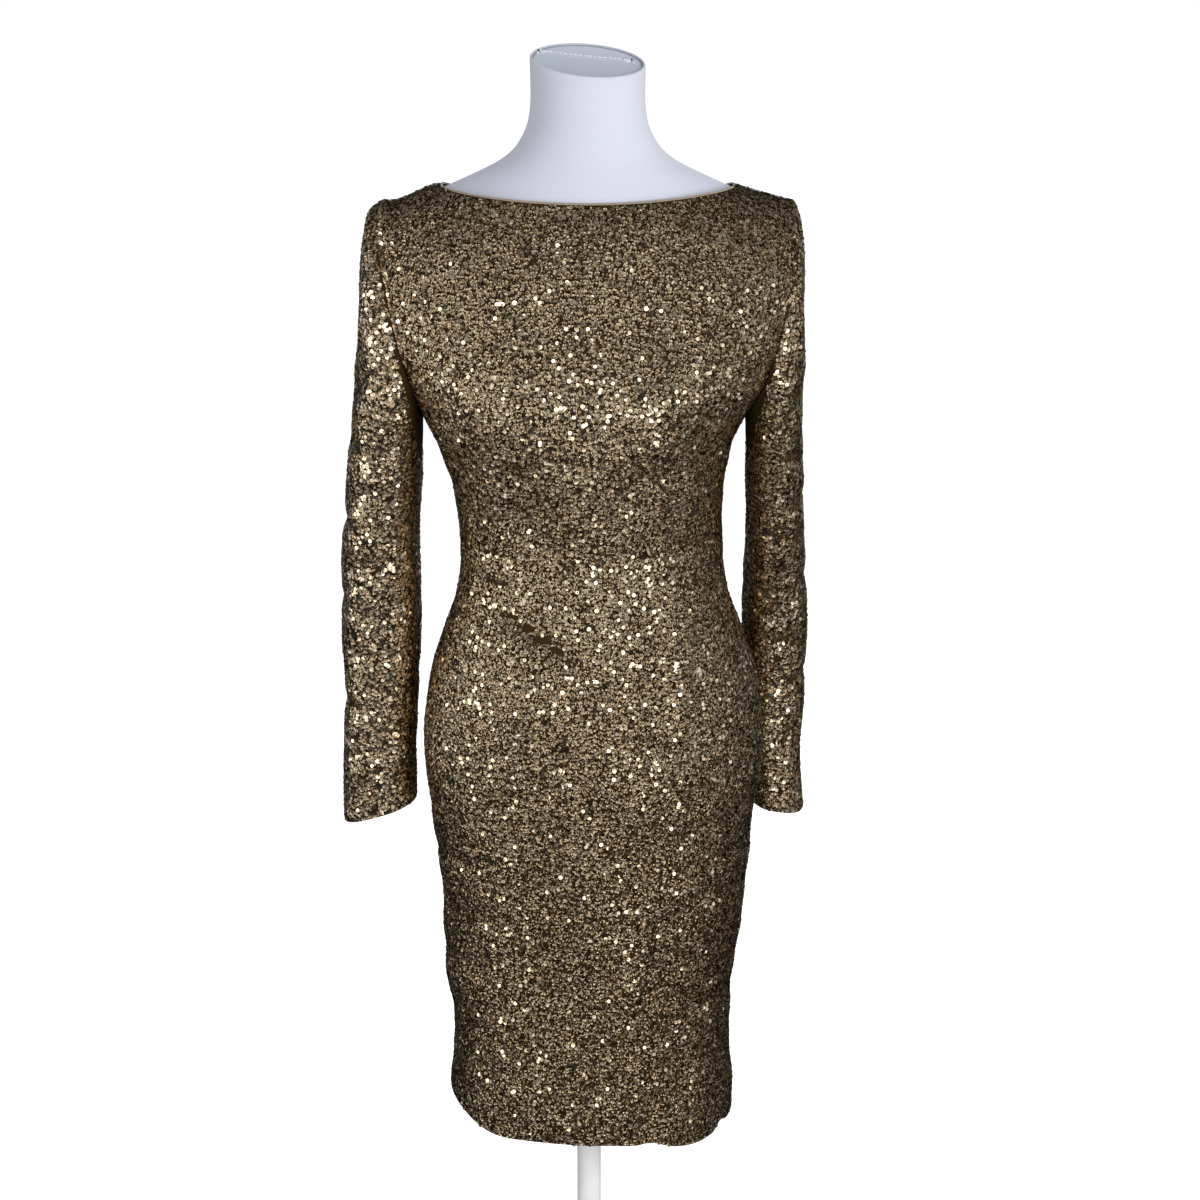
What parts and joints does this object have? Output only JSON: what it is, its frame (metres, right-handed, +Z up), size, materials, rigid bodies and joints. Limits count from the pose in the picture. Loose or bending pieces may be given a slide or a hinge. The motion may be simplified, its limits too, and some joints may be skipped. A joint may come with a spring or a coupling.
{
  "type": "sequin cocktail dress on a limbless dress form",
  "caption": "Knee-length long-sleeved sheath dress in gold sequins with a shallow boat neck, worn by a white limbless dress form on a round foot.",
  "frame": {"origin": "centre of the underside of the stand's round foot", "axes": "+Z up along the pole, -Y the way the front of the dress faces, +X to the right as seen from the front"},
  "size_m": [0.4768, 0.3, 1.4014],
  "materials": {
    "sequin_cloth": "stretch mesh closely covered with small round gold sequins, glossy and glittering",
    "form_jersey": "smooth white jersey cover, matte",
    "form_cap": "grey-white cloth cover over a flat disc, matte, with a sewn line",
    "stand_paint": "white powder paint, satin"
  },
  "bodies": {
    "root": {"dress_front": "sequin_cloth", "dress_back": "sequin_cloth", "sleeve_left": "sequin_cloth", "sleeve_right": "sequin_cloth", "form_body": "form_jersey", "form_neck_cap": "form_cap", "form_pole": "stand_paint", "form_base": "stand_paint"}
  },
  "joints": []
}
